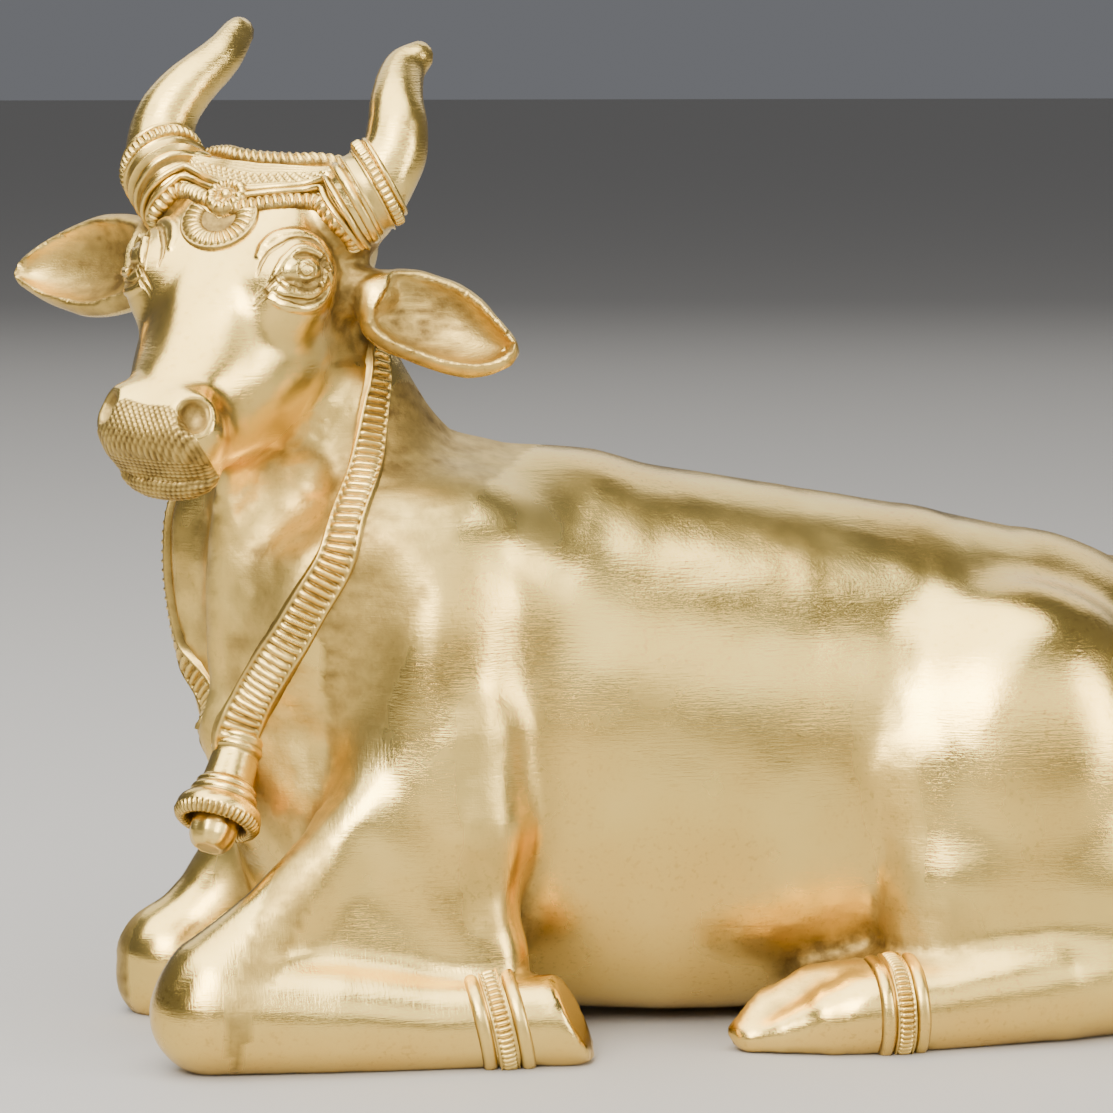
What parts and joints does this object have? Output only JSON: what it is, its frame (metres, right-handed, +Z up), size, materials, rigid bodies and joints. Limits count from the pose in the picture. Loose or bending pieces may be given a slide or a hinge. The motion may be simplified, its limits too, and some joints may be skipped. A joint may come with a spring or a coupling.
{
  "type": "reclining bull figure",
  "caption": "Figure of a reclining bull, head turned to one side, forelegs folded under the chest, with a bell on a neck chain, horn rings, anklets and a band over the brow.",
  "frame": {"origin": "centre of the bounding box in plan, at the plane of the soles on which the figure rests", "axes": "X along the body, chest toward -X and rump toward +X; +Y the far side, -Y the side that the head is turned to; +Z up"},
  "size_m": [0.2324, 0.1123, 0.1898],
  "materials": {
    "brass": "polished, satin in places, dark in the recesses"
  },
  "bodies": {
    "root": {"nandi_bull": "brass"}
  },
  "joints": []
}
